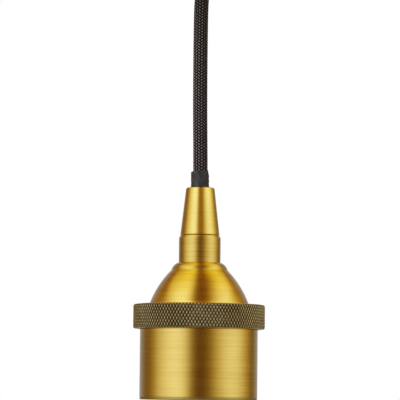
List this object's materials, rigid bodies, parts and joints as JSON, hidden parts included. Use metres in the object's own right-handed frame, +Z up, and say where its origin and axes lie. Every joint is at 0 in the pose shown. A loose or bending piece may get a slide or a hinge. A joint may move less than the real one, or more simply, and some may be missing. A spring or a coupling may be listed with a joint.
{
  "type": "rise and fall pendant",
  "caption": "Brushed brass lamp holder with a knurled ring, hung on a braided flex from a sprung ceiling reel that lets it rise and fall.",
  "frame": {"origin": "centre of the ceiling plate's top face, where it meets the ceiling", "axes": "+Z up towards the ceiling, +X from the reel towards the supply terminals, -Y towards the viewer of the picture"},
  "size_m": [0.13, 0.1318, 0.257],
  "materials": {
    "brushed_brass": "brushed antique brass, lacquered, with fine rings round it",
    "knurled_brass": "dark olive bronze on brass, diamond knurled",
    "braid": "dark brown woven braid with grey flecks",
    "black_rubber": "matt black rubber",
    "steel": "zinc plated steel",
    "spring_steel": "blued spring steel",
    "bright_brass": "plain brass, turned or pressed",
    "porcelain": "glazed off-white porcelain, opaque",
    "aluminium": "plain cast aluminium",
    "nylon": "natural nylon",
    "black_plastic": "black moulded plastic",
    "fibre": "red-brown vulcanised fibre",
    "felt": "grey wool felt",
    "carbon": "pressed carbon",
    "brown_core": "brown core insulation",
    "blue_core": "blue core insulation",
    "earth_core": "green and yellow core insulation"
  },
  "bodies": {
    "ceiling_unit": {"ceiling_plate": "steel", "canopy": "brushed_brass", "canopy_screws": "bright_brass", "supply_grommet": "black_rubber", "cord_guide": "bright_brass", "guide_nut": "bright_brass", "cord_lead": "braid", "brush_block": "black_plastic", "brushes": "carbon", "reel_bracket_left": "steel", "reel_bracket_right": "steel", "bracket_screws": "steel", "reel_axle": "steel", "axle_clips": "steel", "brake_pad": "felt", "brake_screw": "steel", "supply_block": "nylon", "supply_screws": "bright_brass", "lead_earth": "earth_core", "lead_neutral": "blue_core", "lead_line": "brown_core"},
    "reel": {"reel_drum": "aluminium", "cord_inner_layer": "braid", "cord_winding": "braid", "layer_ramp": "nylon", "spring_case": "aluminium", "power_spring": "spring_steel", "slip_ring_hub": "nylon", "slip_rings": "bright_brass"},
    "flex_bend": {"cord_neck": "braid"},
    "flex": {"cord": "braid"},
    "lamp_holder": {"shell": "brushed_brass", "dome_cap": "brushed_brass", "collar": "brushed_brass", "strain_sleeve": "black_rubber", "threaded_nipple": "steel", "nipple_nut": "steel", "lock_washer": "steel", "insert_bridge": "steel", "bridge_screws": "steel", "earth_tag": "bright_brass", "ceramic_insert": "porcelain", "lamp_shell": "bright_brass", "contact_keeper": "bright_brass", "plunger_spring": "spring_steel", "line_terminal": "bright_brass", "neutral_terminal": "bright_brass", "pinch_screws": "bright_brass", "neutral_rivet": "bright_brass", "cord_tail": "braid", "core_line": "brown_core", "core_neutral": "blue_core", "core_earth": "earth_core"},
    "washer": {"ring_washer": "fibre"},
    "ring": {"knurled_ring": "knurled_brass"},
    "collet": {"grip_collet": "nylon"},
    "grip": {"cone_grip": "brushed_brass"},
    "centre_contact": {"contact_plunger": "bright_brass"}
  },
  "joints": [
    {"name": "swing_side", "type": "hinge", "parent": "ceiling_unit", "child": "flex_bend", "pos_m": [0, 0, -0.08], "axis": [0, 1, 0], "range_deg": [-20, 20], "deforming": ["cord_neck"]},
    {"name": "swing_front", "type": "hinge", "parent": "flex_bend", "child": "flex", "pos_m": [0, 0, -0.08], "axis": [1, 0, 0], "range_deg": [-20, 20], "deforming": ["cord_neck"]},
    {"name": "rise_fall", "type": "slide", "parent": "flex", "child": "lamp_holder", "axis": [0, 0, 1], "range_m": [-0.6, 0.04], "deforming": ["cord"]},
    {"name": "reel_turn", "type": "hinge", "parent": "ceiling_unit", "child": "reel", "pos_m": [-0.027, 0, -0.0395], "axis": [0, 1, 0], "range_deg": [-84, 1251], "deforming": ["cord_winding"]},
    {"name": "ring_turn", "type": "hinge", "parent": "washer", "child": "ring", "pos_m": [0, 0, -0.227], "axis": [0, 0, 1], "range_deg": [0, 1440.5]},
    {"name": "ring_lift", "type": "slide", "parent": "lamp_holder", "child": "washer", "axis": [0, 0, 1], "range_m": [0, 0.006]},
    {"name": "grip_turn", "type": "hinge", "parent": "collet", "child": "grip", "pos_m": [0, 0, -0.187], "axis": [0, 0, 1], "range_deg": [0, 2520.5]},
    {"name": "grip_lift", "type": "slide", "parent": "lamp_holder", "child": "collet", "axis": [0, 0, 1], "range_m": [0, 0.007]},
    {"name": "contact_press", "type": "slide", "parent": "lamp_holder", "child": "centre_contact", "axis": [0, 0, 1], "range_m": [0, 0.0015], "stiffness_N_per_m": 800, "springref_m": -0.001, "deforming": ["plunger_spring"]}
  ],
  "couplings": [
    {"joint": "reel_turn", "follows": "rise_fall", "rad_per_m": -36.364},
    {"joint": "ring_turn", "follows": "ring_lift", "rad_per_m": 4188.8},
    {"joint": "grip_turn", "follows": "grip_lift", "rad_per_m": 6283.2}
  ]
}
